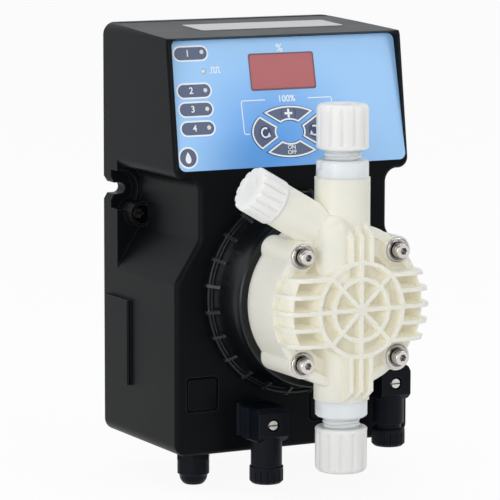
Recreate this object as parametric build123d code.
from build123d import *
import os
from math import atan2, cos, degrees, pi, radians, sin, sqrt

os.makedirs("parts", exist_ok=True)

# Solenoid diaphragm metering pump for a wall, in millimetres.
#
# x runs to the right as seen from the front, y runs back to the wall and z runs up.
# The wall is the plane y = 0, and a depth is a distance in front of it.
# Heights are measured from the body's underside. Every piece is shifted down at the
# end, so that the origin lies on the wall, halfway between the two wall slots.

# Fits
RUNNING_GAP = 0.05      # between a moving round piece and what guides it
LOOSE_GAP = 0.3         # round pieces that pass each other
SEAT_GAP = 0.1          # round or slanted faces that rest on each other
SLIDE_GAP = 0.25        # round each key in the panel

# Housing
BODY_WIDTH = 125.5
BODY_HEIGHT = 200.0
BODY_DEPTH = 79.0
COVER_THICKNESS = 5.0
RIM_DEPTH = 15.0        # the full-width rim at the wall, cover included
RIM_CORNER_R = 6.0
WALL = 2.5
RIM_WALL = 4.6          # wider wall round the seal
WAIST_STEP = 12.5       # how far the waist lies in from each side
TAPER_START = 83.0
TAPER_END = 102.5
HOOD_HEIGHT = 131.0
HOOD_CORNER_R = 5.2
HOOD_LEVEL = 1.0        # level stretch between the hood's two curves
TAPER_R = 7.0
FOOT_R = 6.0
FRONT_EDGE_R = 2.5
BEZEL_START = 134.0     # height where the front begins to lean back
BEZEL_SETBACK = 8.7     # how far it has leaned back at the top
TOP_FALL = 3.5          # how much lower the top is at the front
BREAK_R = 60.0
HALF_WIDTH = BODY_WIDTH / 2
PAST = 1.0              # how far a cut runs on past a face

# Seal and screws between cover and shell
SEAL_WIDTH = 1.8
SEAL_DEPTH = 1.4
SEAL_INSET = 1.4
COVER_LIP = 3.0
COVER_LIP_WALL = 2.0
COVER_SCREW_IN = 9.0    # from the sides, and from top and underside
COVER_SCREW_R = 1.9
COVER_SCREW_HEAD_R = 3.6
COVER_SCREW_LENGTH = 18.0
COVER_BOSS_R = 4.6
COVER_BOSS_DEPTH = 22.0

# Wall slots, and the cup with a screw under each of them
SLOT_HEIGHT = 120.0
SLOT_X = HALF_WIDTH - 4.75
SLOT_WIDTH = 5.5
SLOT_MOUTH_R = 3.5
SLOT_POCKET_X = HALF_WIDTH - 1.75
SLOT_POCKET_R = 9.5
SLOT_FLOOR = 8.0        # depth of the pocket's floor
CUP_X = HALF_WIDTH - 9.95
CUP_HEIGHT = 108.6
CUP_R = 6.25
CUP_BORE_R = 4.6
CUP_DEPTH = 22.5
CUP_FLOOR = 16.0
WAIST_SCREW_HEAD_R = 3.5
WAIST_SCREW_HEAD = 2.6
WAIST_SCREW_END = 1.5   # depth where its tip ends in the cover
CROSS_LENGTH = 4.4
CROSS_WIDTH = 0.9
CROSS_DEPTH = 1.2

# Raised pads on the sides
PAD_DEPTH = 30.0
PAD_LOW = 27.0
PAD_HIGH = 68.5
PAD_RISE = 2.0

# Control panel: it leans back more than the frame round it
PANEL_LOW = 135.2
PANEL_LEAN = 12.9
PANEL_WIDTH = BODY_WIDTH - 3.9
PANEL_LENGTH = 61.6
PANEL_CORNER_R = 3.5
FILM = 0.5
PANEL_WALL = 2.0
PANEL_RIM = 2.0
BEZEL_REACH = 20.0      # more than the frame rises over the panel
WINDOW_X = -1.6
WINDOW_UP = 45.4
WINDOW_WIDTH = 33.6
WINDOW_LENGTH = 16.4
WINDOW_THICKNESS = 2.0
WINDOW_GAP = 0.15
MODULE_THICKNESS = 6.0
MODULE_RIM = 1.5
BOARD_DROP = 8.0        # from the panel's face to the board
BOARD_THICKNESS = 1.6
BOARD_WIDTH = PANEL_WIDTH - 13.6
BOARD_LENGTH = PANEL_LENGTH - 7.6
BOARD_POST_R = 2.4
BOARD_PEG_R = 1.3
BOARD_POST_IN = 4.0
BOARD_PEG_PAST = 1.0    # how far the pegs come through the board
LAMP_X = -43.2
LAMP_R = 1.2
LAMP_RISE = 0.3         # how far the lamps' domes stand above the film
LAMP_UPS = (20.2, 29.0, 37.8, 46.8, 55.9)
KEY_X = -0.8
KEY_UP = 16.3
KEY_OUTER = (20.3, 12.3)
KEY_INNER = (7.4, 5.5)
KEY_SPLIT = 2.4
KEY_SPLIT_ANGLE = 31.0
KEY_RISE = 0.35
KEY_BODY = 1.2
KEY_TRAVEL = 0.4
SWITCH_SIZE = 6.0
SWITCH_BODY = 3.5
SWITCH_CAP_R = 1.7
SWITCH_CAP = 1.0
SWITCH_SHARE = 0.68     # place of a switch between ring's middle and its outer edge

# Blank label on the top
TOP_LABEL_X = 6.5
TOP_LABEL_DEPTH = 34.0
TOP_LABEL_WIDTH = 77.0
TOP_LABEL_LENGTH = 22.0
TOP_LABEL_THICKNESS = 0.3

# Ports in the lower front, by x and height: two blanked, two with cable plugs
BLANK_PORTS = ((13.75 - HALF_WIDTH, 29.3), (16.5, 20.0))
BLANK_SIZE = 15.4
BLANK_RECESS = 16.8
BLANK_RECESS_DEPTH = 1.6
BLANK_CORNER_R = 2.0
BLANK_HOLE_R = 4.0
LEFT_PLUG = (-24.0, 16.5)
RIGHT_PLUG = (HALF_WIDTH - 20.75, 31.0)
LEFT_PLUG_SLACK = 0.0
RIGHT_PLUG_SLACK = 2.6  # this cable nut is not done up

# Cable plug
PLUG_WIDTH = 15.8
PLUG_HEIGHT = 16.2
PLUG_BASE = 2.5
PLUG_GASKET = 1.2
PLUG_DEPTH = 21.0
PLUG_CHAMFER = 2.6
PLUG_TUBE_R = 7.4
PLUG_TUBE_LENGTH = 11.8
PLUG_TUBE_IN = 7.6      # its axis behind the plug's front
PLUG_RIB_COUNT = 5
PLUG_RIB_PITCH = 2.0
PLUG_RIB_WIDTH = 1.1
PLUG_RIB_RISE = 0.6
PLUG_SCREW_R = 1.5
PLUG_SCREW_HEAD_R = 2.7
PLUG_SCREW_HEAD = 2.0
PLUG_SCREW_WELL_R = 3.2
PLUG_SCREW_WELL = 2.4
PLUG_BORE_R = 4.2
PLUG_BORE_LENGTH = 20.0
PLUG_NECK_R = 6.2
PLUG_NECK_LENGTH = 6.0
CABLE_NUT_R = 8.0
CABLE_NUT_HEIGHT = 8.4
CABLE_NUT_LIP = 1.6
CABLE_NUT_RIBS = 16
CABLE_R = 2.9

# Cable gland in the underside
GLAND_X = 16.45 - HALF_WIDTH
GLAND_DEPTH = 64.0
GLAND_FLATS = 15.0
GLAND_HEX = 4.0
GLAND_THREAD_R = 6.0
GLAND_NUT_R = 7.9
GLAND_NUT_HEIGHT = 7.6
GLAND_DOME_R = 6.8
GLAND_DOME_HEIGHT = 4.6
GLAND_BORE_R = 4.4
GLAND_STUB = 9.0
GLAND_LOCKNUT = 3.0

# Pump head, on a level axis
HEAD_HEIGHT = 75.2
HEAD_THICKNESS = 39.4   # from the diaphragm to the hub's front
HEAD_R = 38.6
RIM_IN_R = 34.0         # inside of the raised rim above and below the fins
RIM_EDGE_R = 2.6
FACE_DROP = 14.7        # from the hub's front back to the head's round face
GROOVE_DROP = 25.5
GROOVE_IN_R = 22.7
GROOVE_OUT_R = 27.2
RING_WALL = 1.9
RING_R = 22.7
INNER_RING_R = 15.1
CELL_DROP = 8.5
SPOKES = 8
FINS = 5
FIN_PITCH = 7.6
FIN_ROUND = 8.0
FIN_RISE = 3.1          # how far the fins stand out from the wall between them
FIN_WALL_R = 33.4       # inside of that wall
BAR_RIBS = 3
BAR_PITCH = 5.2
BAR_TOP = 34.0
BAR_LOW = 38.0
BAR_SLANT = 7.0
BOLT_SQUARE = 50.0
BOLT_BOSS_R = 6.7
BOLT_DROP = 11.4
BOLT_R = 2.0
BOLT_HOLE_R = 2.25
BOLT_HEAD_R = 3.5
BOLT_HEAD = 4.0
BOLT_SOCKET = 3.0
BOLT_SOCKET_DEPTH = 2.0
BOLT_LENGTH = 42.0
WASHER_R = 5.8
WASHER = 1.0
SPRING_WASHER_R = 3.5
SPRING_WASHER = 1.0

# Upright valve column of the head
VALVE_DROP = 19.2       # its axis behind the hub's front
COLUMN_R = 12.9
COLUMN_TOP = 59.5       # above the head's axis
COLUMN_LOW = 44.1
CHANNEL_R = 3.5
CHAMBER_R = 24.0
CHAMBER_DEPTH = 2.2
PORT_R = 2.5
PORT_RISE = 15.0

# Valve cartridges, the same at both ends
VALVE_FLANGE_R = 12.2
VALVE_FLANGE = 8.2
VALVE_SPIGOT_R = 9.0
VALVE_SPIGOT = 15.0
FLANGE_NOTCH = 1.3      # depth of the flange's two small notches
FLANGE_NOTCH_WIDTH = 4.0
VALVE_THREAD_R = 8.8
VALVE_THREAD = 16.5
VALVE_CAVITY_R = 5.2
VALVE_INSERT = 3.0
VALVE_HOLE_R = 2.75
VALVE_WAY_R = 3.2
BALL_R = 4.0
BALL_TRAVEL = 1.5
VALVE_SEAL_R = 0.9
VALVE_SEAL_DROP = 2.0

# Hose nut and nipple
NUT_START = 5.0         # above the flange
NUT_R = 12.2
NUT_HEIGHT = 20.7
NUT_RIBS = 12
NUT_GROOVE_R = 1.3
NUT_HOLE_R = 4.2
NIPPLE_FLANGE_R = 6.4
NIPPLE_FLANGE = 1.6
NIPPLE_R = 2.2
NIPPLE_BARB_R = 2.7
NIPPLE_BORE_R = 1.5
NIPPLE_LENGTH = 7.0

# Bleed valve
BLEED_ANGLE = 30.0
BLEED_RISE = 29.2       # where its axis meets the column's axis
BLEED_R = 10.2
BLEED_LENGTH = 49.8
BLEED_NECK_R = 8.0
BLEED_NECK = 9.0
BLEED_BORE_R = 3.2
BLEED_KNOB_R = 10.9
BLEED_KNOB_LENGTH = 15.1
BLEED_KNOB_RIBS = 14
BLEED_KNOB_GROOVE_R = 1.4
BLEED_SHAFT_R = 2.4
BLEED_SEAT_R = 2.0
BLEED_SEAT_AT = 15.0
BLEED_TIP = 3.0
BLEED_SEAL_AT = 30.0
BLEED_SEAL_HALF = 1.0
BOSS_X = -9.6
BOSS_DROP = 10.4
BOSS_R = 8.2
BOSS_TOP = 35.0
BOSS_LOW = 18.0
BOSS_SLANT = 35.0

# Black collar between head and body
COLLAR_FRONT_R = 42.4
COLLAR_BACK_R = 48.2
COLLAR_FOOT = 4.2
COLLAR_BEAD_R = 1.0
COLLAR_WALL = 3.4
COLLAR_LIP = 1.2
COLLAR_HEIGHT = 24.2    # from the body's front to the diaphragm's seat
COLLAR_FACE = 9.0
COLLAR_WELL_R = 25.0
COLLAR_WELL = 5.0
COLLAR_SPIGOT_R = 19.5
COLLAR_RIBS = 24
COLLAR_RIB = 1.2
COLLAR_RIB_LENGTH = 5.0
COLLAR_RIB_RISE = 0.7

# Diaphragm and drive
DIAPHRAGM_R = 38.2
DIAPHRAGM_RIM = 1.6
DIAPHRAGM_SKIN = 0.8
DIAPHRAGM_RIM_IN_R = 25.0
CORE_R = 15.0
CORE = 2.2
ROD_R = 4.0
BUSH_WALL = 2.0
BUSH_LENGTH = 8.0
STROKE = 1.2
CASE_R = 31.0
CASE_WALL = 3.0
CASE_LENGTH = 48.0
POLE_R = 14.0
POLE_LENGTH = 16.0
ARMATURE_R = 13.0
ARMATURE_LENGTH = 22.0
BOBBIN_WALL = 1.6
WINDING_GAP = 1.0
SPRING_R = 7.0
SPRING_WIRE_R = 0.8
SPRING_TURNS = 4
SPRING_WELL = 8.0
POLE_SCREW_R = 1.25
POLE_SCREW_HEAD_R = 2.4
POLE_SCREW_LENGTH = 14.0
POLE_SCREW_CIRCLE_R = 17.2

HOOD_HOLLOW_R = WAIST_STEP - HOOD_CORNER_R - HOOD_LEVEL
COLLAR_FACE_DEPTH = BODY_DEPTH + COLLAR_HEIGHT
HEAD_BACK_DEPTH = COLLAR_FACE_DEPTH + DIAPHRAGM_RIM
HUB_DEPTH = HEAD_BACK_DEPTH + HEAD_THICKNESS
VALVE_DEPTH = HUB_DEPTH - VALVE_DROP
FACE_DEPTH = HUB_DEPTH - FACE_DROP
FIN_ROWS = (FIN_PITCH * (FINS - 1) + RING_WALL) / 2    # half the height of all the fins
BOLT_SEAT = HUB_DEPTH - BOLT_DROP + WASHER + SPRING_WASHER
SPIGOT_BACK = BODY_DEPTH - 2 * WALL     # the drive is screwed to the collar there


def front_plane(depth):
    """Upright plane at a depth: a sketch on it is drawn as seen from the front."""
    return Plane(origin=(0, -depth, 0), x_dir=(1, 0, 0), z_dir=(0, -1, 0))


def slab(sketch, near, far):
    """A front-view sketch made solid from one depth to another."""
    return extrude(front_plane(near) * sketch, amount=far - near)


def polygon(points):
    return make_face(Polyline(*points, close=True))


def side_slab(points, half_width):
    """A side-view outline of (depth, height) points, made solid to both sides."""
    outline = polygon([(-depth, height) for depth, height in points])
    return extrude(Plane.YZ * outline, amount=half_width, both=True)


def turned(points, base):
    """A turned solid: (radius, height) points spun round the base plane's axis."""
    return base * revolve(Plane.XZ * polygon(points), Axis.Z)


def rod(radius, start, end, base):
    """A round bar along the base plane's axis, from one height to another."""
    return base * (Pos(0, 0, start) * extrude(Circle(radius), amount=end - start))


def tube(outer, inner, start, end, base):
    return rod(outer, start, end, base) - rod(inner, start, end, base)


def round_corners(face, radii):
    """Rounds corners of a front-view face, each with its mirror image."""
    for x, height, radius in radii:
        for side in (-x, x):
            corner = face.vertices().sort_by_distance((side, height, 0))[0]
            face = fillet(corner, radius)
    return face


def soft_square(width, height, radius):
    return RectangleRounded(width, height, radius)


def export(name, shape):
    """Writes one piece, with the origin moved up to the wall slots."""
    solids = [Pos(0, 0, -SLOT_HEIGHT) * solid for solid in shape.solids()]
    body = solids[0] if len(solids) == 1 else Compound(children=solids)
    body.label = name
    export_step(body, f"parts/{name}.step")


# Planes and places that several pieces share
HEAD_AXIS = Plane(origin=(0, 0, HEAD_HEIGHT), x_dir=(1, 0, 0), z_dir=(0, -1, 0))
BLEED_AXIS = Plane(
    origin=(0, -VALVE_DEPTH, HEAD_HEIGHT + BLEED_RISE),
    x_dir=(0, 1, 0),
    z_dir=(-cos(radians(BLEED_ANGLE)), 0, sin(radians(BLEED_ANGLE))),
)
DISCHARGE_AXIS = Plane(
    origin=(0, -VALVE_DEPTH, HEAD_HEIGHT + COLUMN_TOP), x_dir=(1, 0, 0), z_dir=(0, 0, 1)
)
SUCTION_AXIS = Plane(
    origin=(0, -VALVE_DEPTH, HEAD_HEIGHT - COLUMN_LOW), x_dir=(1, 0, 0), z_dir=(0, 0, -1)
)
PANEL = Plane(
    origin=(0, -BODY_DEPTH, PANEL_LOW),
    x_dir=(1, 0, 0),
    z_dir=(0, -cos(radians(PANEL_LEAN)), sin(radians(PANEL_LEAN))),
)
BOLTS = [(x, z) for x in (-BOLT_SQUARE / 2, BOLT_SQUARE / 2) for z in (-BOLT_SQUARE / 2, BOLT_SQUARE / 2)]


def bolt_axis(x, z):
    return Plane(origin=(x, 0, HEAD_HEIGHT + z), x_dir=(1, 0, 0), z_dir=(0, -1, 0))


# Housing


def body_outline(inset):
    """Front view of the body ahead of its rim: a wide foot, a waist and a hood."""
    waist = HALF_WIDTH - WAIST_STEP
    right = [
        (HALF_WIDTH, 0),
        (HALF_WIDTH, TAPER_START),
        (waist, TAPER_END),
        (waist, HOOD_HEIGHT),
        (HALF_WIDTH, HOOD_HEIGHT),
        (HALF_WIDTH, BODY_HEIGHT),
    ]
    left = [(-x, height) for x, height in reversed(right)]
    radii = (FOOT_R, TAPER_R, TAPER_R, HOOD_HOLLOW_R, HOOD_CORNER_R, RIM_CORNER_R)
    corners = [(x, height, radius) for (x, height), radius in zip(right, radii)]
    face = round_corners(polygon(right + left), corners)
    return offset(face, amount=-inset) if inset else face


def side_form(inset):
    """The body's side outline, as a wide solid: level underside, leaning front, sloping top."""
    front = BODY_DEPTH - inset
    side = polygon(
        [
            (0, inset),
            (-front, inset),
            (-front, BEZEL_START),
            (-(front - BEZEL_SETBACK), BODY_HEIGHT - TOP_FALL - inset),
            (0, BODY_HEIGHT - inset),
        ]
    )
    brink = side.vertices().sort_by_distance((-front, BEZEL_START, 0))[0]
    side = fillet(brink, BREAK_R)
    return extrude(Plane.YZ * side, amount=BODY_WIDTH, both=True)


def body_block(inset, near):
    """The body's solid form, drawn in by inset: front outline crossed with side outline."""
    return slab(body_outline(inset), near, BODY_DEPTH + PAST) & side_form(inset)


def front_brink(block):
    """The edges that run round the body's front faces as a whole."""
    found = {}
    for face in block.faces():
        if face.normal_at().Y < -0.9:
            for edge in face.edges():
                middle = edge.center()
                place = (round(middle.X, 2), round(middle.Y, 2), round(middle.Z, 2))
                found.setdefault(place, []).append(edge)
    return [edges[0] for edges in found.values() if len(edges) == 1]


def rim_outline(inset):
    outline = soft_square(BODY_WIDTH - 2 * inset, BODY_HEIGHT - 2 * inset, RIM_CORNER_R)
    return Pos(0, BODY_HEIGHT / 2) * outline


def wall_slots(near, far):
    """Both slots, open to the sides, with a rounded mouth."""
    reach = HALF_WIDTH - SLOT_X + PAST
    slots = Part()
    for side in (-1, 1):
        run = Pos(side * (SLOT_X + reach / 2), SLOT_HEIGHT) * Rectangle(reach, SLOT_WIDTH)
        end = Pos(side * SLOT_X, SLOT_HEIGHT) * Circle(SLOT_WIDTH / 2)
        slots += slab(run + end, near - PAST, far + PAST)
        flare = [
            (side * (HALF_WIDTH - SLOT_MOUTH_R), SLOT_HEIGHT),
            (side * (HALF_WIDTH + PAST), SLOT_HEIGHT + SLOT_WIDTH / 2 + SLOT_MOUTH_R + PAST),
            (side * (HALF_WIDTH + PAST), SLOT_HEIGHT - SLOT_WIDTH / 2 - SLOT_MOUTH_R - PAST),
        ]
        slots += slab(polygon(flare), near - PAST, far + PAST)
    return slots


COVER_SCREWS = [
    (side * (HALF_WIDTH - COVER_SCREW_IN), height)
    for side in (-1, 1)
    for height in (COVER_SCREW_IN, BODY_HEIGHT - COVER_SCREW_IN)
]


def screw_axis(x, height):
    return Plane(origin=(x, 0, height), x_dir=(1, 0, 0), z_dir=(0, -1, 0))


def make_rear_cover():
    """Flat cover with a low lip that centres it in the shell."""
    cover = slab(rim_outline(0), 0, COVER_THICKNESS)
    lip_out = RIM_WALL + SLIDE_GAP
    lip = body_outline(lip_out) - body_outline(lip_out + COVER_LIP_WALL)
    cover += slab(lip, COVER_THICKNESS, COVER_THICKNESS + COVER_LIP)
    cover -= wall_slots(0, COVER_THICKNESS)
    for x, height in COVER_SCREWS:
        axis = screw_axis(x, height)
        cover -= rod(COVER_BOSS_R + SLIDE_GAP, COVER_THICKNESS, COVER_THICKNESS + COVER_LIP + PAST, axis)
        cover -= rod(COVER_SCREW_R + SEAT_GAP, -PAST, COVER_THICKNESS + PAST, axis)
        sink = COVER_SCREW_HEAD_R - COVER_SCREW_R
        rim = COVER_SCREW_HEAD_R + SEAT_GAP
        cover -= turned([(0, -0.01), (rim, -0.01), (rim - sink, sink), (0, sink)], axis)
    for side in (-1, 1):
        axis = screw_axis(side * CUP_X, CUP_HEIGHT)
        cover -= rod(COVER_SCREW_R + RUNNING_GAP, WAIST_SCREW_END - 0.5, COVER_THICKNESS + PAST, axis)
    return cover


def make_housing_gasket():
    loop = body_outline(SEAL_INSET) - body_outline(SEAL_INSET + SEAL_WIDTH)
    return slab(loop, COVER_THICKNESS, COVER_THICKNESS + SEAL_DEPTH)


def panel_block(width_more, low, high):
    """A rounded block on the leaning panel plane, between two heights above it."""
    sketch = Pos(0, PANEL_LENGTH / 2) * soft_square(
        PANEL_WIDTH + width_more, PANEL_LENGTH + width_more, PANEL_CORNER_R + width_more / 2
    )
    return PANEL * (Pos(0, 0, low) * extrude(sketch, amount=high - low))


def on_panel(sketch, low, high):
    return PANEL * (Pos(0, 0, low) * extrude(sketch, amount=high - low))


def window_sketch(more):
    return Pos(WINDOW_X, WINDOW_UP) * Rectangle(WINDOW_WIDTH + 2 * more, WINDOW_LENGTH + 2 * more)


def key_sketch(name, more):
    """One quarter of the oval ring of keys, grown by more on every side."""
    ring = Ellipse(KEY_OUTER[0] + more, KEY_OUTER[1] + more)
    ring -= Ellipse(KEY_INNER[0] - more, KEY_INNER[1] - more)
    edge = KEY_SPLIT / 2 - more
    reach = 2 * KEY_OUTER[0]
    slope = radians(KEY_SPLIT_ANGLE)
    tip = edge / sin(slope)
    side_tip = edge / cos(slope)
    run = reach * cos(slope)
    rise = reach * sin(slope)
    high = side_tip + rise
    quarters = {
        "right": [(tip, 0), (tip + run, rise), (tip + run, -rise)],
        "up": [(0, side_tip), (run, high), (run, 2 * reach), (-run, 2 * reach), (-run, high)],
    }
    mirrored = {"left": "right", "down": "up"}
    points = quarters[mirrored.get(name, name)]
    if name in mirrored:
        points = [(-x, -y) for x, y in points]
    return Pos(KEY_X, KEY_UP) * (ring & polygon(points))


KEYS = ("up", "left", "down", "right")
KEY_MIDDLES = {
    "up": (KEY_X, KEY_UP + KEY_OUTER[1] * SWITCH_SHARE),
    "left": (KEY_X - KEY_OUTER[0] * SWITCH_SHARE, KEY_UP),
    "down": (KEY_X, KEY_UP - KEY_OUTER[1] * SWITCH_SHARE),
    "right": (KEY_X + KEY_OUTER[0] * SWITCH_SHARE, KEY_UP),
}


def panel_openings(low, high):
    """Openings for window, keys and lamps, through film and panel wall."""
    cuts = on_panel(window_sketch(WINDOW_GAP), low, high)
    for name in KEYS:
        cuts += on_panel(key_sketch(name, SLIDE_GAP), low, high)
    for up in LAMP_UPS:
        cuts += on_panel(Pos(LAMP_X, up) * Circle(LAMP_R + SEAT_GAP), low, high)
    return cuts


BOARD_POSTS = [
    (x, up)
    for x in (-BOARD_WIDTH / 2 + BOARD_POST_IN, BOARD_WIDTH / 2 - BOARD_POST_IN)
    for up in (
        PANEL_LENGTH / 2 - BOARD_LENGTH / 2 + BOARD_POST_IN,
        PANEL_LENGTH / 2 + BOARD_LENGTH / 2 - BOARD_POST_IN,
    )
]


def plug_axis(port):
    """The port's level axis."""
    return Plane(origin=(port[0], 0, port[1]), x_dir=(1, 0, 0), z_dir=(0, -1, 0))


def gland_axis():
    return Plane(origin=(GLAND_X, -GLAND_DEPTH, 0), x_dir=(1, 0, 0), z_dir=(0, 0, -1))


def make_front_shell():
    """Moulded shell: rim, foot, waist and hood in one, hollow from the back."""
    outer = body_block(0, RIM_DEPTH)
    outer = fillet(front_brink(outer), FRONT_EDGE_R)
    shell = outer + (slab(rim_outline(0), COVER_THICKNESS, RIM_DEPTH) & side_form(0))
    for side in (-1, 1):
        pad = Pos(side * (HALF_WIDTH - WALL / 2 + PAD_RISE / 2), (PAD_LOW + PAD_HIGH) / 2)
        pad_solid = slab(pad * Rectangle(WALL + PAD_RISE, PAD_HIGH - PAD_LOW), COVER_THICKNESS, PAD_DEPTH)
        shell += chamfer(pad_solid.edges().filter_by(Axis.Z).group_by(Axis.Y)[0], PAD_RISE / 3)
        shell += rod(CUP_R, COVER_THICKNESS, CUP_DEPTH, screw_axis(side * CUP_X, CUP_HEIGHT))
    cavity = body_block(WALL, RIM_DEPTH - WALL)
    cavity += slab(body_outline(RIM_WALL), COVER_THICKNESS - PAST, RIM_DEPTH - WALL)
    shell -= cavity
    shell -= make_housing_gasket()
    frame = panel_block(2 * PANEL_RIM, -FILM - PANEL_WALL, BEZEL_REACH) & outer
    shell += frame
    for x, up in BOARD_POSTS:
        post = Pos(x, up)
        shell += on_panel(post * Circle(BOARD_POST_R), -BOARD_DROP, -FILM - PANEL_WALL)
        peg_end = -BOARD_DROP - BOARD_THICKNESS - BOARD_PEG_PAST
        shell += on_panel(post * Circle(BOARD_PEG_R), peg_end, -BOARD_DROP)
    shell -= panel_block(0, -FILM, BEZEL_REACH)
    shell -= panel_openings(-FILM - PANEL_WALL - PAST, PAST)
    for x, height in COVER_SCREWS:
        axis = screw_axis(x, height)
        shell += rod(COVER_BOSS_R, COVER_THICKNESS, COVER_BOSS_DEPTH, axis)
        shell -= rod(COVER_SCREW_R + RUNNING_GAP, COVER_THICKNESS - PAST, COVER_SCREW_LENGTH + PAST, axis)
    shell -= wall_slots(COVER_THICKNESS, RIM_DEPTH)
    for side in (-1, 1):
        cup = screw_axis(side * CUP_X, CUP_HEIGHT)
        shell -= rod(CUP_BORE_R, CUP_FLOOR, CUP_DEPTH + PAST, cup)
        shell -= rod(COVER_SCREW_R + SEAT_GAP, COVER_THICKNESS - PAST, CUP_FLOOR + PAST, cup)
        beside = screw_axis(side * SLOT_POCKET_X, SLOT_HEIGHT)
        pocket = rod(SLOT_POCKET_R, SLOT_FLOOR, RIM_DEPTH + PAST, beside)
        shell -= pocket - rod(CUP_R, 0, CUP_DEPTH, cup)
    shell -= rod(COLLAR_SPIGOT_R + SEAT_GAP, SPIGOT_BACK, BODY_DEPTH + PAST, HEAD_AXIS)
    for port in BLANK_PORTS:
        recess = Pos(*port) * soft_square(BLANK_RECESS, BLANK_RECESS, BLANK_CORNER_R)
        shell -= slab(recess, BODY_DEPTH - BLANK_RECESS_DEPTH, BODY_DEPTH + PAST)
        shell -= rod(BLANK_HOLE_R + SEAT_GAP, BODY_DEPTH - 2 * WALL, BODY_DEPTH, plug_axis(port))
    for port in (LEFT_PLUG, RIGHT_PLUG):
        shell -= rod(BLANK_HOLE_R + SEAT_GAP, BODY_DEPTH - 2 * WALL, BODY_DEPTH + PAST, plug_axis(port))
    shell -= rod(GLAND_THREAD_R + SEAT_GAP, -2 * WALL, PAST, gland_axis())
    return shell


def cover_screw(x, height):
    """Countersunk screw, driven from the wall side, with a cross slot."""
    sink = COVER_SCREW_HEAD_R - COVER_SCREW_R
    profile = [
        (0, 0),
        (COVER_SCREW_HEAD_R, 0),
        (COVER_SCREW_R, sink),
        (COVER_SCREW_R, COVER_SCREW_LENGTH - 1),
        (COVER_SCREW_R / 2, COVER_SCREW_LENGTH),
        (0, COVER_SCREW_LENGTH),
    ]
    return turned(profile, screw_axis(x, height))


def waist_screw(side):
    """Pan-head screw down in its cup, with its tip in the cover."""
    head_top = CUP_FLOOR + WAIST_SCREW_HEAD
    profile = [
        (0, WAIST_SCREW_END),
        (COVER_SCREW_R / 2, WAIST_SCREW_END),
        (COVER_SCREW_R, WAIST_SCREW_END + 1),
        (COVER_SCREW_R, CUP_FLOOR),
        (WAIST_SCREW_HEAD_R, CUP_FLOOR),
        (WAIST_SCREW_HEAD_R, head_top - 1),
        (WAIST_SCREW_HEAD_R - 1, head_top),
        (0, head_top),
    ]
    axis = screw_axis(side * CUP_X, CUP_HEIGHT)
    cross = Rectangle(CROSS_LENGTH, CROSS_WIDTH) + Rectangle(CROSS_WIDTH, CROSS_LENGTH)
    recess = slab(Pos(side * CUP_X, CUP_HEIGHT) * cross, head_top - CROSS_DEPTH, head_top + PAST)
    return turned(profile, axis) - recess


# Control panel


def make_control_film():
    film = panel_block(-2 * SEAT_GAP, -FILM, 0)
    return film - panel_openings(-FILM - PAST, PAST)


def make_display_window():
    return on_panel(window_sketch(0), -WINDOW_THICKNESS, 0)


def make_display_module():
    """Display block behind the window, standing on the board."""
    block = on_panel(window_sketch(-WINDOW_GAP), -BOARD_DROP, -WINDOW_THICKNESS)
    foot = on_panel(window_sketch(MODULE_RIM), -BOARD_DROP, -BOARD_DROP + MODULE_THICKNESS / 2)
    return block + foot


def make_circuit_board():
    board = on_panel(
        Pos(0, PANEL_LENGTH / 2) * soft_square(BOARD_WIDTH, BOARD_LENGTH, 2),
        -BOARD_DROP - BOARD_THICKNESS,
        -BOARD_DROP,
    )
    for x, up in BOARD_POSTS:
        hole = Pos(x, up) * Circle(BOARD_PEG_R + SEAT_GAP)
        board -= on_panel(hole, -BOARD_DROP - BOARD_THICKNESS - PAST, 0)
    return board


def make_mode_leds():
    """Five lamps standing on the board, with domes that rise just above the film."""
    profile = [
        (0, -BOARD_DROP),
        (LAMP_R, -BOARD_DROP),
        (LAMP_R, LAMP_RISE - 0.5),
        (0.85 * LAMP_R, LAMP_RISE - 0.2),
        (0.5 * LAMP_R, LAMP_RISE),
        (0, LAMP_RISE),
    ]
    lamps = Part()
    for up in LAMP_UPS:
        spot = Plane(PANEL.from_local_coords((LAMP_X, up, 0)), x_dir=(1, 0, 0), z_dir=PANEL.z_dir)
        lamps += turned(profile, spot)
    return lamps


def make_key(name):
    """One key: a low pad with a rounded brink, on a stem through the panel wall."""
    pad = on_panel(key_sketch(name, 0), KEY_RISE - KEY_BODY, KEY_RISE)
    stem = Pos(*KEY_MIDDLES[name]) * Circle(SWITCH_CAP_R)
    stem_end = -BOARD_DROP + SWITCH_BODY + SWITCH_CAP + KEY_TRAVEL + SEAT_GAP
    return pad + on_panel(stem, stem_end, KEY_RISE - KEY_BODY)


def make_key_switches():
    """Four press switches on the board, one under each key."""
    switches = Part()
    for name in KEYS:
        spot = Pos(*KEY_MIDDLES[name])
        top = -BOARD_DROP + SWITCH_BODY
        switches += on_panel(spot * Rectangle(SWITCH_SIZE, SWITCH_SIZE), -BOARD_DROP, top)
        switches += on_panel(spot * Circle(SWITCH_CAP_R), -BOARD_DROP, top + SWITCH_CAP)
    return switches


def make_top_label():
    """Thin blank label that lies along the sloping top."""
    slope = degrees(atan2(TOP_FALL, BODY_DEPTH - BEZEL_SETBACK))
    drop = TOP_LABEL_DEPTH * TOP_FALL / (BODY_DEPTH - BEZEL_SETBACK)
    sheet = extrude(soft_square(TOP_LABEL_WIDTH, TOP_LABEL_LENGTH, 1.5), amount=TOP_LABEL_THICKNESS)
    return Pos(TOP_LABEL_X, -TOP_LABEL_DEPTH, BODY_HEIGHT - drop) * Rot(slope, 0, 0) * sheet


# Ports


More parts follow.
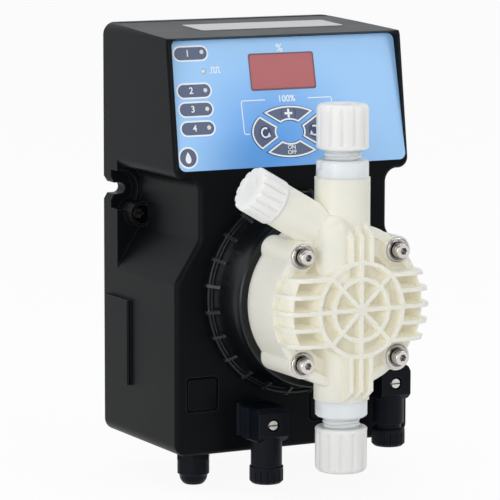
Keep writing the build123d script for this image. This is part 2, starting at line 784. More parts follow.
def port_blank(port):
    """Square blank with a round snap stem through the shell."""
    floor = BODY_DEPTH - BLANK_RECESS_DEPTH
    cap = slab(Pos(*port) * soft_square(BLANK_SIZE, BLANK_SIZE, BLANK_CORNER_R), floor, BODY_DEPTH)
    stem = rod(BLANK_HOLE_R, BODY_DEPTH - 2 * WALL, floor, plug_axis(port))
    return chamfer(cap.edges().group_by(Axis.Y)[0], 0.4) + stem


GASKET_DEPTH = BODY_DEPTH + PLUG_BASE
PLUG_BACK = GASKET_DEPTH + PLUG_GASKET
PLUG_FRONT = PLUG_BACK + PLUG_DEPTH


def plug_outline(port, less):
    return Pos(*port) * soft_square(PLUG_WIDTH - less, PLUG_HEIGHT - less, 1.2)


def plug_base(port):
    """Fixed socket on the shell, with a stem that holds it and takes the screw."""
    axis = plug_axis(port)
    base = slab(plug_outline(port, 0), BODY_DEPTH, GASKET_DEPTH)
    base += rod(BLANK_HOLE_R, BODY_DEPTH - 2 * WALL, BODY_DEPTH, axis)
    return base - rod(PLUG_SCREW_R + RUNNING_GAP, BODY_DEPTH - WALL, GASKET_DEPTH + PAST, axis)


def plug_gasket(port):
    sheet = slab(plug_outline(port, 0.6), GASKET_DEPTH, PLUG_BACK)
    return sheet - rod(PLUG_SCREW_R + LOOSE_GAP, GASKET_DEPTH - PAST, PLUG_BACK + PAST, plug_axis(port))


def down_axis(port):
    """Upright axis of a plug's cable tube, counted down from the plug's middle."""
    depth = PLUG_FRONT - PLUG_TUBE_IN
    return Plane(origin=(port[0], -depth, port[1]), x_dir=(1, 0, 0), z_dir=(0, 0, -1))


def plug_body(port):
    """Square plug with bevelled corners, side grips and a cable tube downward."""
    top = PLUG_HEIGHT / 2
    side = [
        (PLUG_BACK, -top),
        (PLUG_FRONT - PLUG_CHAMFER, -top),
        (PLUG_FRONT, -top + PLUG_CHAMFER),
        (PLUG_FRONT, top - PLUG_CHAMFER),
        (PLUG_FRONT - PLUG_CHAMFER, top),
        (PLUG_BACK, top),
    ]
    profile = side_slab([(depth, port[1] + rise) for depth, rise in side], BODY_WIDTH)
    body = slab(plug_outline(port, 0), PLUG_BACK, PLUG_FRONT) & profile
    for side in (-1, 1):
        for rib in range(PLUG_RIB_COUNT):
            depth = PLUG_BACK + PLUG_RIB_WIDTH + rib * PLUG_RIB_PITCH
            spot = Pos(port[0] + side * PLUG_WIDTH / 2, port[1])
            grip = slab(spot * Rectangle(2 * PLUG_RIB_RISE, PLUG_HEIGHT - 3), depth, depth + PLUG_RIB_WIDTH)
            body += grip
    axis = down_axis(port)
    tube_end = PLUG_HEIGHT / 2 + PLUG_TUBE_LENGTH
    body += rod(PLUG_TUBE_R, 0, tube_end, axis)
    body += rod(PLUG_NECK_R, tube_end, tube_end + PLUG_NECK_LENGTH, axis)
    neck_end = tube_end + PLUG_NECK_LENGTH
    body -= rod(PLUG_BORE_R, neck_end - PLUG_BORE_LENGTH, neck_end + PAST, axis)
    level = plug_axis(port)
    body -= rod(PLUG_SCREW_R + LOOSE_GAP, PLUG_BACK - PAST, PLUG_FRONT + PAST, level)
    return body - rod(PLUG_SCREW_WELL_R, PLUG_FRONT - PLUG_SCREW_WELL, PLUG_FRONT + PAST, level)


def plug_screw(port):
    """Slotted screw through the plug into its base."""
    seat = PLUG_FRONT - PLUG_SCREW_WELL
    profile = [
        (0, BODY_DEPTH),
        (PLUG_SCREW_R, BODY_DEPTH),
        (PLUG_SCREW_R, seat),
        (PLUG_SCREW_HEAD_R, seat),
        (PLUG_SCREW_HEAD_R, seat + PLUG_SCREW_HEAD - 0.5),
        (PLUG_SCREW_HEAD_R - 0.5, seat + PLUG_SCREW_HEAD),
        (0, seat + PLUG_SCREW_HEAD),
    ]
    slot = slab(Pos(*port) * Rectangle(2 * PLUG_SCREW_HEAD_R, 0.8), seat + PLUG_SCREW_HEAD - 0.9, PLUG_FRONT)
    return turned(profile, plug_axis(port)) - slot


def nut_start(slack):
    return PLUG_HEIGHT / 2 + PLUG_TUBE_LENGTH + slack


def cable_nut(port, slack):
    """Ribbed nut on a plug's cable tube, open below for the cable."""
    start = nut_start(slack)
    end = start + CABLE_NUT_HEIGHT
    inner = PLUG_NECK_R + RUNNING_GAP
    profile = [
        (inner, start),
        (CABLE_NUT_R - 0.5, start),
        (CABLE_NUT_R, start + 0.5),
        (CABLE_NUT_R, end - 1.2),
        (CABLE_NUT_R - 1.2, end),
        (PLUG_BORE_R, end),
        (PLUG_BORE_R, end - CABLE_NUT_LIP),
        (inner, end - CABLE_NUT_LIP),
    ]
    axis = down_axis(port)
    nut = turned(profile, axis)
    for rib in range(CABLE_NUT_RIBS):
        turn = Rot(0, 0, rib * 360 / CABLE_NUT_RIBS)
        groove = turn * Pos(CABLE_NUT_R, 0, start + 1.6) * Cylinder(
            0.6, CABLE_NUT_HEIGHT, align=(Align.CENTER, Align.CENTER, Align.MIN)
        )
        nut -= axis * groove
    return nut


def plug_seal(port):
    """Rubber ring in the tube's end, where the cable would pass."""
    end = PLUG_HEIGHT / 2 + PLUG_TUBE_LENGTH + PLUG_NECK_LENGTH
    return tube(PLUG_BORE_R - RUNNING_GAP, CABLE_R, end - 5, end, down_axis(port))


# Cable gland


def make_gland_body():
    """Hexagon on the underside, with a threaded stub through it."""
    axis = gland_axis()
    hexagon = axis * extrude(RegularPolygon(GLAND_FLATS / 2, 6, major_radius=False), amount=GLAND_HEX)
    stub = rod(GLAND_THREAD_R, -GLAND_STUB, GLAND_HEX + GLAND_NUT_HEIGHT - 2, axis)
    return hexagon + stub - rod(GLAND_BORE_R, -GLAND_STUB - PAST, GLAND_HEX + GLAND_NUT_HEIGHT, axis)


def make_gland_nut():
    """Domed cap nut with six flats and an open end."""
    axis = gland_axis()
    low = GLAND_HEX + GLAND_NUT_HEIGHT
    end = low + GLAND_DOME_HEIGHT
    profile = [
        (GLAND_THREAD_R + RUNNING_GAP, GLAND_HEX),
        (GLAND_NUT_R, GLAND_HEX),
        (GLAND_NUT_R, low - 0.8),
        (GLAND_DOME_R, low),
        (GLAND_DOME_R - 0.5, low + 0.5 * GLAND_DOME_HEIGHT),
        (GLAND_DOME_R - 1.6, low + 0.85 * GLAND_DOME_HEIGHT),
        (GLAND_DOME_R - 2.6, end),
        (CABLE_R, end),
        (CABLE_R, end - 1.4),
        (GLAND_BORE_R, low - 2),
        (GLAND_THREAD_R + RUNNING_GAP, low - 2),
    ]
    hexagon = RegularPolygon(GLAND_FLATS / 2, 6, major_radius=False)
    return turned(profile, axis) & axis * extrude(hexagon, amount=end)


def make_gland_seal():
    end = GLAND_HEX + GLAND_NUT_HEIGHT - 2
    return tube(GLAND_BORE_R - RUNNING_GAP, CABLE_R, end - 6, end - 0.2, gland_axis())


def make_gland_locknut():
    axis = gland_axis()
    hexagon = RegularPolygon(GLAND_FLATS / 2, 6, major_radius=False) - Circle(GLAND_THREAD_R + RUNNING_GAP)
    return axis * (Pos(0, 0, -WALL - GLAND_LOCKNUT) * extrude(hexagon, amount=GLAND_LOCKNUT))


# Collar between head and body


def make_head_collar():
    """Bell-shaped collar: a beaded foot, a hollow flare and radial ribs."""
    foot = BODY_DEPTH + COLLAR_FOOT
    face = COLLAR_FACE_DEPTH
    lip = face + COLLAR_LIP
    flare = [
        (COLLAR_BACK_R - 2.2, foot),
        (COLLAR_BACK_R - 4.2, foot + 5),
        (COLLAR_FRONT_R + 0.8, face - 5),
        (COLLAR_FRONT_R, face - 1),
    ]
    outside = [(COLLAR_BACK_R - 1, BODY_DEPTH), (COLLAR_BACK_R, BODY_DEPTH + 0.8), (COLLAR_BACK_R, foot - 1)]
    lip_inside = DIAPHRAGM_R + LOOSE_GAP
    front = [
        (COLLAR_FRONT_R, lip - 0.6),
        (COLLAR_FRONT_R - 0.6, lip),
        (lip_inside, lip),
        (lip_inside, face),
        (COLLAR_WELL_R, face),
        (COLLAR_WELL_R - 1.5, face - COLLAR_WELL),
        (ROD_R + BUSH_WALL, face - COLLAR_WELL),
    ]
    back = face - COLLAR_FACE
    inside = [
        (ROD_R + BUSH_WALL, SPIGOT_BACK),
        (COLLAR_SPIGOT_R, SPIGOT_BACK),
        (COLLAR_SPIGOT_R, BODY_DEPTH),
    ]
    collar = turned(inside + outside + flare + front, HEAD_AXIS)
    hollow = [
        (COLLAR_SPIGOT_R + 3, BODY_DEPTH - PAST),
        (COLLAR_BACK_R - 2.2 - COLLAR_WALL, BODY_DEPTH - PAST),
        (COLLAR_FRONT_R - COLLAR_WALL, back),
        (COLLAR_SPIGOT_R + 3, back),
    ]
    collar -= turned(hollow, HEAD_AXIS)
    bead = HEAD_AXIS * (Pos(0, 0, foot - 0.4) * Torus(COLLAR_BACK_R - 0.6, COLLAR_BEAD_R))
    collar += bead
    rib = side_rib(foot)
    for turn in range(COLLAR_RIBS):
        collar += HEAD_AXIS * (Rot(0, 0, (turn + 0.5) * 360 / COLLAR_RIBS) * rib)
    for x, z in BOLTS:
        post = rod(BOLT_BOSS_R, foot, face - PAST, bolt_axis(x, z))
        collar += post & turned([(0, BODY_DEPTH)] + outside + flare + [(0, face)], HEAD_AXIS)
        collar -= rod(BOLT_R + RUNNING_GAP, BOLT_SEAT - BOLT_LENGTH - PAST, lip + PAST, bolt_axis(x, z))
    for x, z in POLE_SCREWS:
        collar -= pole_screw_form(x, z, RUNNING_GAP)
    return collar


def side_rib(foot):
    """One short rib across the collar's bead, run out on the flare."""
    crest = COLLAR_BACK_R - 0.6 + COLLAR_BEAD_R + COLLAR_RIB_RISE
    outline = [
        (COLLAR_BACK_R - COLLAR_WALL, foot - 2),
        (crest, foot - 2),
        (crest, foot),
        (COLLAR_BACK_R - COLLAR_WALL, foot + COLLAR_RIB_LENGTH),
    ]
    return extrude(Plane.XZ * polygon(outline), amount=COLLAR_RIB / 2, both=True)


# Pump head


def rounded_ring(inner, outer, low, high, edge_r):
    """A turned ring on the head's axis, its outer front edge rounded."""
    edge = ThreePointArc(
        (outer, high - edge_r),
        (outer - edge_r * (1 - cos(pi / 4)), high - edge_r * (1 - sin(pi / 4))),
        (outer - edge_r, high),
    )
    rest = Polyline(
        (outer - edge_r, high),
        (inner, high),
        (inner, low),
        (outer, low),
        (outer, high - edge_r),
    )
    return HEAD_AXIS * revolve(Plane.XZ * make_face(edge + rest), Axis.Z)


def level_band(half_height):
    """A wide block across the head, level and centred on its axis."""
    return HEAD_AXIS * (Pos(0, 0, HUB_DEPTH / 2) * Box(3 * HEAD_R, 2 * half_height, 2 * HUB_DEPTH))


def make_fins():
    """Five level fins on each side of the hub, with a lower wall that joins them outside."""
    low = FACE_DEPTH - PAST
    form = rounded_ring(RING_R - RING_WALL / 2, HEAD_R, low, HUB_DEPTH, FIN_ROUND)
    fins = Part()
    for index in range(FINS):
        rise = (index - (FINS - 1) / 2) * FIN_PITCH
        fins += form & (Pos(0, 0, rise) * level_band(RING_WALL / 2))
    high = HUB_DEPTH - FIN_RISE
    wall = rounded_ring(RING_R, HEAD_R - FIN_RISE, low, high, FIN_ROUND - FIN_RISE)
    wall -= rod(FIN_WALL_R, low - PAST, HUB_DEPTH, HEAD_AXIS)
    return fins + (wall & level_band(FIN_ROWS))


def make_rim():
    """Raised rim above and below the fins, level with the bolt bosses."""
    rim = rounded_ring(RIM_IN_R, HEAD_R, FACE_DEPTH - PAST, HUB_DEPTH - BOLT_DROP, RIM_EDGE_R)
    return rim - level_band(FIN_ROWS)


def make_hub():
    """Hub of two rings and eight spokes, over a solid core."""
    base = FACE_DEPTH - 4
    floor = HUB_DEPTH - CELL_DROP
    hub = rod(RING_R, HUB_DEPTH - GROOVE_DROP - PAST, floor, HEAD_AXIS)
    hub += tube(RING_R, RING_R - RING_WALL, base, HUB_DEPTH, HEAD_AXIS)
    hub += tube(INNER_RING_R, INNER_RING_R - RING_WALL, base, HUB_DEPTH, HEAD_AXIS)
    for spoke in range(SPOKES // 2):
        bar = slab(Rectangle(2 * RING_R - RING_WALL, RING_WALL), floor - PAST, HUB_DEPTH)
        hub += Pos(0, 0, HEAD_HEIGHT) * Rot(0, spoke * 360 / SPOKES, 0) * bar
    return hub


def make_bar():
    """Three upright ribs on the column's front, slanting back at both ends."""
    back = VALVE_DEPTH + COLUMN_R - 3
    outline = [
        (back, -BAR_LOW - BAR_SLANT),
        (HUB_DEPTH, -BAR_LOW),
        (HUB_DEPTH, BAR_TOP),
        (back, BAR_TOP + BAR_SLANT),
    ]
    bars = Part()
    for index in range(BAR_RIBS):
        x = (index - (BAR_RIBS - 1) / 2) * BAR_PITCH
        rib = side_slab([(depth, HEAD_HEIGHT + rise) for depth, rise in outline], RING_WALL / 2)
        bars += Pos(x, 0, 0) * rib
    inside = rod(RING_R - RING_WALL, 0, HUB_DEPTH + PAST, HEAD_AXIS)
    return bars - inside


def make_pump_head():
    """Moulded head: round face, hub, fins, valve column, bolt bosses and bleed boss."""
    head = rod(HEAD_R, HEAD_BACK_DEPTH, FACE_DEPTH, HEAD_AXIS)
    groove = tube(GROOVE_OUT_R, GROOVE_IN_R, HUB_DEPTH - GROOVE_DROP, FACE_DEPTH + PAST, HEAD_AXIS)
    head -= groove
    head += make_hub()
    for x, z in BOLTS:
        head += rod(BOLT_BOSS_R, HEAD_BACK_DEPTH, HUB_DEPTH - BOLT_DROP, bolt_axis(x, z))
    head += make_fins()
    head += make_rim()
    head += make_bar()
    column_length = COLUMN_TOP + COLUMN_LOW
    head += rod(COLUMN_R, -column_length, 0, DISCHARGE_AXIS)
    head += rod(BLEED_R, 0, BLEED_LENGTH - BLEED_NECK, BLEED_AXIS)
    head += rod(BLEED_NECK_R, 0, BLEED_LENGTH, BLEED_AXIS)
    head += make_bleed_boss()
    head -= make_head_channels()
    for x, z in BOLTS:
        head -= rod(BOLT_HOLE_R, 0, HUB_DEPTH, bolt_axis(x, z))
    return head


def make_bleed_boss():
    """Domed upright boss beside the column, cut at a slant below."""
    axis = Plane(
        origin=(BOSS_X, -(HUB_DEPTH - BOSS_DROP), HEAD_HEIGHT), x_dir=(1, 0, 0), z_dir=(0, 0, 1)
    )
    boss = rod(BOSS_R, BOSS_LOW - BOSS_R, BOSS_TOP, axis)
    dome = axis * (Pos(0, 0, BOSS_TOP) * Sphere(BOSS_R))
    below = Box(4 * BOSS_R, 4 * BOSS_R, 2 * BOSS_R, align=(Align.CENTER, Align.CENTER, Align.MAX))
    return boss + dome - axis * (Pos(0, 0, BOSS_LOW) * Rot(BOSS_SLANT, 0, 0) * below)


def make_head_channels():
    """Way through the column, with ports to the dished chamber and to the bleed."""
    spigot = VALVE_SPIGOT + SEAT_GAP
    ways = rod(VALVE_SPIGOT_R + RUNNING_GAP, -spigot, PAST, DISCHARGE_AXIS)
    ways += rod(VALVE_SPIGOT_R + RUNNING_GAP, -spigot, PAST, SUCTION_AXIS)
    ways += rod(CHANNEL_R, -(COLUMN_TOP + COLUMN_LOW) + spigot - PAST, -spigot + PAST, DISCHARGE_AXIS)
    dish = [
        (0, HEAD_BACK_DEPTH - PAST),
        (CHAMBER_R, HEAD_BACK_DEPTH - PAST),
        (CHAMBER_R, HEAD_BACK_DEPTH),
        (CORE_R, HEAD_BACK_DEPTH + CHAMBER_DEPTH),
        (0, HEAD_BACK_DEPTH + CHAMBER_DEPTH),
    ]
    ways += turned(dish, HEAD_AXIS)
    for rise in (-PORT_RISE, PORT_RISE):
        ways += rod(PORT_R, HEAD_BACK_DEPTH, VALVE_DEPTH, screw_axis(0, HEAD_HEIGHT + rise))
    ways += rod(BLEED_SEAT_R - 0.5, 0, BLEED_SEAT_AT, BLEED_AXIS)
    ways += rod(BLEED_BORE_R, BLEED_SEAT_AT, BLEED_LENGTH + PAST, BLEED_AXIS)
    return ways


def head_bolt(x, z):
    """Socket-head bolt with two washers under its head."""
    tip = BOLT_SEAT - BOLT_LENGTH
    top = BOLT_SEAT + BOLT_HEAD
    profile = [
        (0, tip),
        (BOLT_R - 0.6, tip),
        (BOLT_R, tip + 0.6),
        (BOLT_R, BOLT_SEAT),
        (BOLT_HEAD_R, BOLT_SEAT),
        (BOLT_HEAD_R, top - 0.4),
        (BOLT_HEAD_R - 0.4, top),
        (0, top),
    ]
    axis = bolt_axis(x, z)
    hexagon = RegularPolygon(BOLT_SOCKET / 2, 6, major_radius=False)
    socket = Pos(0, 0, top - BOLT_SOCKET_DEPTH) * extrude(hexagon, amount=BOLT_HEAD)
    return turned(profile, axis) - axis * socket


def bolt_washer(x, z):
    start = HUB_DEPTH - BOLT_DROP
    return tube(WASHER_R, BOLT_HOLE_R, start, start + WASHER, bolt_axis(x, z))


def spring_washer(x, z):
    """Split spring washer, closed flat by the bolt."""
    start = HUB_DEPTH - BOLT_DROP + WASHER
    axis = bolt_axis(x, z)
    split = axis * (Pos(SPRING_WASHER_R, 0, start + SPRING_WASHER / 2) * Rot(30, 0, 0) * Box(4, 0.5, 4))
    return tube(SPRING_WASHER_R, BOLT_HOLE_R, start, start + SPRING_WASHER, axis) - split


# Valve cartridges: heights run outward from the column's end

BALL_REST = sqrt((BALL_R + SEAT_GAP) ** 2 - VALVE_HOLE_R**2)
CAVITY_LENGTH = 2 * BALL_REST + BALL_TRAVEL
INSERT_TOP = -VALVE_SPIGOT + VALVE_INSERT
CAVITY_END = INSERT_TOP + CAVITY_LENGTH
SEAL_AT = -VALVE_SEAL_DROP - VALVE_SEAL_R


def valve_body(axis):
    """Clear cartridge body: a spigot with a seal groove, a flange and a threaded stub."""
    thread_end = VALVE_FLANGE + VALVE_THREAD
    groove = VALVE_SPIGOT_R - 2 * VALVE_SEAL_R
    profile = [
        (VALVE_CAVITY_R, -VALVE_SPIGOT),
        (VALVE_SPIGOT_R - 0.5, -VALVE_SPIGOT),
        (VALVE_SPIGOT_R, -VALVE_SPIGOT + 0.5),
        (VALVE_SPIGOT_R, SEAL_AT - VALVE_SEAL_R),
        (groove, SEAL_AT - VALVE_SEAL_R),
        (groove, SEAL_AT + VALVE_SEAL_R),
        (VALVE_SPIGOT_R, SEAL_AT + VALVE_SEAL_R),
        (VALVE_SPIGOT_R, 0),
        (VALVE_FLANGE_R, 0),
        (VALVE_FLANGE_R, VALVE_FLANGE - 1),
        (VALVE_FLANGE_R - 1, VALVE_FLANGE),
        (VALVE_THREAD_R, VALVE_FLANGE),
        (VALVE_THREAD_R, thread_end - 0.6),
        (VALVE_THREAD_R - 0.6, thread_end),
        (VALVE_WAY_R, thread_end),
        (VALVE_WAY_R, CAVITY_END + 2),
        (VALVE_HOLE_R, CAVITY_END + 2),
        (VALVE_HOLE_R, CAVITY_END),
        (VALVE_CAVITY_R, CAVITY_END),
    ]
    body = turned(profile, axis)
    for side in (-VALVE_FLANGE_R, VALVE_FLANGE_R):
        notch = Pos(side, 0, VALVE_FLANGE) * Box(2 * FLANGE_NOTCH, FLANGE_NOTCH_WIDTH, VALVE_FLANGE)
        body -= axis * notch
    return body


def valve_insert(axis):
    """Seat ring pressed into the cartridge's inner end."""
    return tube(VALVE_CAVITY_R, VALVE_HOLE_R, -VALVE_SPIGOT, INSERT_TOP, axis)


def valve_ball(axis, seated_at_insert):
    """Ball, at rest on the lower of its two seats."""
    middle = INSERT_TOP + BALL_REST if seated_at_insert else CAVITY_END - BALL_REST
    return axis * (Pos(0, 0, middle) * Sphere(BALL_R))


def valve_seal(axis):
    """Seal ring in the spigot's groove."""
    middle = VALVE_SPIGOT_R + RUNNING_GAP - VALVE_SEAL_R
    return axis * (Pos(0, 0, SEAL_AT) * Torus(middle, VALVE_SEAL_R - RUNNING_GAP))


def hose_nipple(axis):
    """Barbed nipple clamped on the end of the cartridge's stub."""
    start = VALVE_FLANGE + VALVE_THREAD
    top = start + NIPPLE_FLANGE
    profile = [
        (NIPPLE_BORE_R, start),
        (NIPPLE_FLANGE_R, start),
        (NIPPLE_FLANGE_R, top),
        (NIPPLE_R, top),
        (NIPPLE_R, top + NIPPLE_LENGTH - 3),
        (NIPPLE_BARB_R, top + NIPPLE_LENGTH - 3),
        (NIPPLE_R - 0.3, top + NIPPLE_LENGTH),
        (NIPPLE_BORE_R, top + NIPPLE_LENGTH),
    ]
    return turned(profile, axis)


def grooves(radius, groove_r, count, start, end, axis):
    """Round grooves down the outside of a grip."""
    groove = Pos(radius + groove_r / 2, 0, start) * extrude(Circle(groove_r), amount=end - start)
    cuts = Part()
    for index in range(count):
        cuts += axis * (Rot(0, 0, index * 360 / count) * groove)
    return cuts


def hose_nut(axis):
    """Ribbed nut that screws onto the stub and clamps the hose."""
    start = VALVE_FLANGE + NUT_START
    end = start + NUT_HEIGHT
    inner = VALVE_THREAD_R + RUNNING_GAP
    clamp = VALVE_FLANGE + VALVE_THREAD + NIPPLE_FLANGE + LOOSE_GAP
    profile = [
        (inner, start),
        (NUT_R - 0.8, start),
        (NUT_R, start + 0.8),
        (NUT_R, end - 1.6),
        (NUT_R - 1.6, end),
        (NUT_HOLE_R, end),
        (NUT_HOLE_R, clamp + 1),
        (NIPPLE_FLANGE_R - 1, clamp),
        (inner, clamp),
    ]
    nut = turned(profile, axis)
    return nut - grooves(NUT_R, NUT_GROOVE_R, NUT_RIBS, start + 2.2, end + PAST, axis)


# Bleed valve: heights run outward from the column's axis


def make_bleed_knob():
    """Grip cap over the bleed boss's neck, hollow from below."""
    start = BLEED_LENGTH - BLEED_NECK + LOOSE_GAP
    end = start + BLEED_KNOB_LENGTH
    inner = BLEED_NECK_R + LOOSE_GAP
    ceiling = BLEED_LENGTH + LOOSE_GAP
    profile = [
        (inner, start),
        (BLEED_KNOB_R - 0.6, start),
        (BLEED_KNOB_R, start + 0.6),
        (BLEED_KNOB_R, end - 1.6),
        (BLEED_KNOB_R - 1.6, end),
        (0, end),
        (0, end - 2),
        (BLEED_SHAFT_R + RUNNING_GAP, end - 2),
        (BLEED_SHAFT_R + RUNNING_GAP, ceiling),
        (inner, ceiling),
    ]
    knob = turned(profile, BLEED_AXIS)
    low = start + 2
    high = end + PAST
    return knob - grooves(BLEED_KNOB_R, BLEED_KNOB_GROOVE_R, BLEED_KNOB_RIBS, low, high, BLEED_AXIS)


def make_bleed_needle():
    """Spindle with a cone that shuts on the seat."""
    end = BLEED_LENGTH - BLEED_NECK + LOOSE_GAP + BLEED_KNOB_LENGTH - 2 - SEAT_GAP
    tip = BLEED_SEAT_AT + SEAT_GAP
    profile = [
        (0, tip),
        (0.8, tip),
        (BLEED_SHAFT_R, tip + BLEED_TIP),
        (BLEED_SHAFT_R, end),
        (0, end),
    ]
    return turned(profile, BLEED_AXIS)


def make_bleed_seal():
    """Seal ring round the spindle, fixed in the boss."""
    return tube(
        BLEED_BORE_R - RUNNING_GAP,
        BLEED_SHAFT_R + RUNNING_GAP,
        BLEED_SEAL_AT - BLEED_SEAL_HALF,
        BLEED_SEAL_AT + BLEED_SEAL_HALF,
        BLEED_AXIS,
    )


# Diaphragm and drive, on the head's axis

DIAPHRAGM_FRONT = COLLAR_FACE_DEPTH + DIAPHRAGM_RIM
SKIN_BACK = DIAPHRAGM_FRONT - DIAPHRAGM_SKIN
CORE_FRONT = SKIN_BACK - SEAT_GAP
CORE_BACK = CORE_FRONT - CORE
CASE_BACK = SPIGOT_BACK - CASE_LENGTH
POLE_BACK = SPIGOT_BACK - POLE_LENGTH
PLATE_BACK = SPIGOT_BACK - 2 * CASE_WALL
ARMATURE_FRONT = POLE_BACK - STROKE - SEAT_GAP
ARMATURE_BACK = ARMATURE_FRONT - ARMATURE_LENGTH


def make_diaphragm():
    """Flexible disc: a thick clamped rim and a thin skin over the core."""
    profile = [
        (0, SKIN_BACK),
        (DIAPHRAGM_RIM_IN_R - 1, SKIN_BACK),
        (DIAPHRAGM_RIM_IN_R + 0.5, COLLAR_FACE_DEPTH),
        (DIAPHRAGM_R, COLLAR_FACE_DEPTH),
        (DIAPHRAGM_R, DIAPHRAGM_FRONT),
        (0, DIAPHRAGM_FRONT),
    ]
    disc = turned(profile, HEAD_AXIS)
    for x, z in BOLTS:
        disc -= rod(BOLT_HOLE_R, COLLAR_FACE_DEPTH - PAST, DIAPHRAGM_FRONT + PAST, bolt_axis(x, z))
    return disc


def make_diaphragm_core():
    """Stiff disc behind the skin, screwed on the rod."""
    profile = [
        (0, CORE_BACK),
        (CORE_R - 1.2, CORE_BACK),
        (CORE_R, CORE_BACK + 1.2),
        (CORE_R, CORE_FRONT),
        (0, CORE_FRONT),
    ]
    return turned(profile, HEAD_AXIS)


def make_push_rod():
    """Rod from the armature's back to the diaphragm's core."""
    return rod(ROD_R, ARMATURE_BACK - 8, CORE_BACK, HEAD_AXIS)


def make_plunger():
    """Soft iron armature, with a well for the spring in its front."""
    armature = tube(ARMATURE_R, ROD_R, ARMATURE_BACK, ARMATURE_FRONT, HEAD_AXIS)
    return armature - tube(
        SPRING_R + SPRING_WIRE_R + LOOSE_GAP,
        ROD_R,
        ARMATURE_FRONT - SPRING_WELL,
        ARMATURE_FRONT + PAST,
        HEAD_AXIS,
    )


def make_return_spring():
    """Coil spring between the armature's well and the pole's bush."""
    start = ARMATURE_FRONT - SPRING_WELL + SPRING_WIRE_R + SEAT_GAP
    end = POLE_BACK - SPRING_WIRE_R - SEAT_GAP
    path = Helix(pitch=(end - start) / SPRING_TURNS, height=end - start, radius=SPRING_R)
    wire = Plane(origin=path @ 0, z_dir=path % 0) * Circle(SPRING_WIRE_R)
    coil = sweep(wire, path=path)
    return HEAD_AXIS * (Pos(0, 0, start) * coil)


def make_solenoid_case():
    """Iron pot round the coil, open in front, with a bore for the rear bush."""
    case = rod(CASE_R, CASE_BACK, SPIGOT_BACK, HEAD_AXIS)
    case -= rod(CASE_R - CASE_WALL, CASE_BACK + 2 * CASE_WALL, SPIGOT_BACK + PAST, HEAD_AXIS)
    return case - rod(ROD_R + BUSH_WALL, CASE_BACK - PAST, SPIGOT_BACK, HEAD_AXIS)


def make_pole_piece():
    """Front plate with a pole that pulls the armature, and four screw holes."""
    pole = rod(POLE_R, POLE_BACK, SPIGOT_BACK, HEAD_AXIS)
    pole += rod(CASE_R - CASE_WALL - SEAT_GAP, PLATE_BACK, SPIGOT_BACK, HEAD_AXIS)
    pole -= rod(ROD_R + BUSH_WALL, POLE_BACK - PAST, SPIGOT_BACK + PAST, HEAD_AXIS)
    for x, z in POLE_SCREWS:
        pole -= pole_screw_form(x, z, SEAT_GAP)
    return pole


POLE_SCREWS = [
    (POLE_SCREW_CIRCLE_R * cos(radians(turn)), POLE_SCREW_CIRCLE_R * sin(radians(turn)))
    for turn in (45, 135, 225, 315)
]


def pole_screw_form(x, z, more):
    """Countersunk screw from the plate into the collar, or its hole, wider by more."""
    thread = POLE_SCREW_R + more
    sink = POLE_SCREW_HEAD_R - POLE_SCREW_R
    profile = [
        (0, PLATE_BACK),
        (POLE_SCREW_HEAD_R + more, PLATE_BACK),
        (thread, PLATE_BACK + sink),
        (thread, PLATE_BACK + POLE_SCREW_LENGTH),
        (0, PLATE_BACK + POLE_SCREW_LENGTH),
    ]
    return turned(profile, bolt_axis(x, z))


def make_coil_bobbin():
    """Plastic spool round pole and armature."""
    inner = POLE_R + SEAT_GAP
    low = CASE_BACK + 2 * CASE_WALL
    high = PLATE_BACK
    outer = CASE_R - CASE_WALL - WINDING_GAP
    spool = tube(inner + BOBBIN_WALL, inner, low, high, HEAD_AXIS)
    spool += tube(outer, inner, low, low + BOBBIN_WALL, HEAD_AXIS)
    return spool + tube(outer, inner, high - BOBBIN_WALL, high, HEAD_AXIS)


def make_coil_winding():
    inner = POLE_R + SEAT_GAP + BOBBIN_WALL
    low = CASE_BACK + 2 * CASE_WALL + BOBBIN_WALL
    high = PLATE_BACK - BOBBIN_WALL
    return tube(CASE_R - CASE_WALL - 2 * WINDING_GAP, inner, low, high, HEAD_AXIS)


def make_guide_bushes():
    """Three plain bushes that guide the rod."""
    outer = ROD_R + BUSH_WALL
    inner = ROD_R + RUNNING_GAP
    well = COLLAR_FACE_DEPTH - COLLAR_WELL
    front = tube(outer, inner, well - BUSH_LENGTH, well, HEAD_AXIS)
    middle = tube(outer, inner, POLE_BACK, SPIGOT_BACK, HEAD_AXIS)
    back = tube(outer, inner, CASE_BACK, CASE_BACK + 2 * CASE_WALL, HEAD_AXIS)
    return front + middle + back


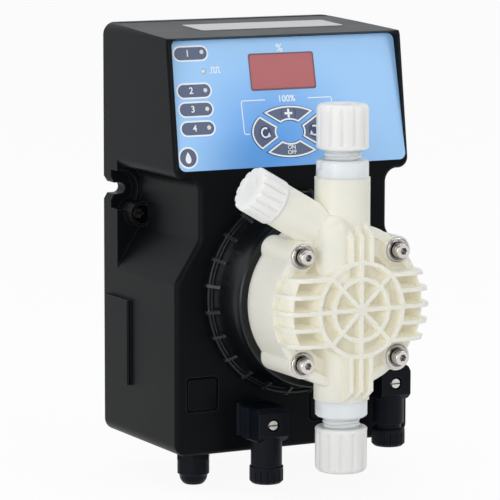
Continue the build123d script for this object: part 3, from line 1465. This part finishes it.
def build():
    export("rear_cover", make_rear_cover())
    export("housing_gasket", make_housing_gasket())
    export("front_shell", make_front_shell())
    screws = Part()
    for x, height in COVER_SCREWS:
        screws += cover_screw(x, height)
    export("cover_screws", screws)
    export("waist_screws", waist_screw(-1) + waist_screw(1))

    export("control_film", make_control_film())
    export("display_window", make_display_window())
    export("display_module", make_display_module())
    export("circuit_board", make_circuit_board())
    export("mode_leds", make_mode_leds())
    for name in KEYS:
        export(f"key_{name}", make_key(name))
    export("key_switches", make_key_switches())
    export("top_label", make_top_label())

    export("port_blanks", port_blank(BLANK_PORTS[0]) + port_blank(BLANK_PORTS[1]))
    plugs = {"left": (LEFT_PLUG, LEFT_PLUG_SLACK), "right": (RIGHT_PLUG, RIGHT_PLUG_SLACK)}
    for side, (port, slack) in plugs.items():
        export(f"plug_body_{side}", plug_body(port))
        export(f"cable_nut_{side}", cable_nut(port, slack))
    export("plug_bases", plug_base(LEFT_PLUG) + plug_base(RIGHT_PLUG))
    export("plug_gaskets", plug_gasket(LEFT_PLUG) + plug_gasket(RIGHT_PLUG))
    export("plug_screws", plug_screw(LEFT_PLUG) + plug_screw(RIGHT_PLUG))
    export("plug_seals", plug_seal(LEFT_PLUG) + plug_seal(RIGHT_PLUG))

    export("gland_body", make_gland_body())
    export("gland_nut", make_gland_nut())
    export("gland_seal", make_gland_seal())
    export("gland_locknut", make_gland_locknut())

    export("head_collar", make_head_collar())
    export("pump_head", make_pump_head())
    bolts, washers, springs = Part(), Part(), Part()
    for x, z in BOLTS:
        bolts += head_bolt(x, z)
        washers += bolt_washer(x, z)
        springs += spring_washer(x, z)
    export("head_bolts", bolts)
    export("head_washers", washers)
    export("head_spring_washers", springs)

    for name, axis in (("discharge", DISCHARGE_AXIS), ("suction", SUCTION_AXIS)):
        export(f"{name}_valve_body", valve_body(axis))
        export(f"{name}_valve_insert", valve_insert(axis))
        export(f"{name}_ball", valve_ball(axis, name == "discharge"))
        export(f"{name}_nipple", hose_nipple(axis))
        export(f"{name}_nut", hose_nut(axis))
    export("valve_seals", valve_seal(DISCHARGE_AXIS) + valve_seal(SUCTION_AXIS))

    export("bleed_knob", make_bleed_knob())
    export("bleed_needle", make_bleed_needle())
    export("bleed_seal", make_bleed_seal())

    export("diaphragm", make_diaphragm())
    export("diaphragm_core", make_diaphragm_core())
    export("push_rod", make_push_rod())
    export("plunger", make_plunger())
    export("return_spring", make_return_spring())
    export("solenoid_case", make_solenoid_case())
    export("pole_piece", make_pole_piece())
    pole_screws = Part()
    for x, z in POLE_SCREWS:
        pole_screws += pole_screw_form(x, z, 0)
    export("pole_screws", pole_screws)
    export("coil_bobbin", make_coil_bobbin())
    export("coil_winding", make_coil_winding())
    export("guide_bushes", make_guide_bushes())


build()
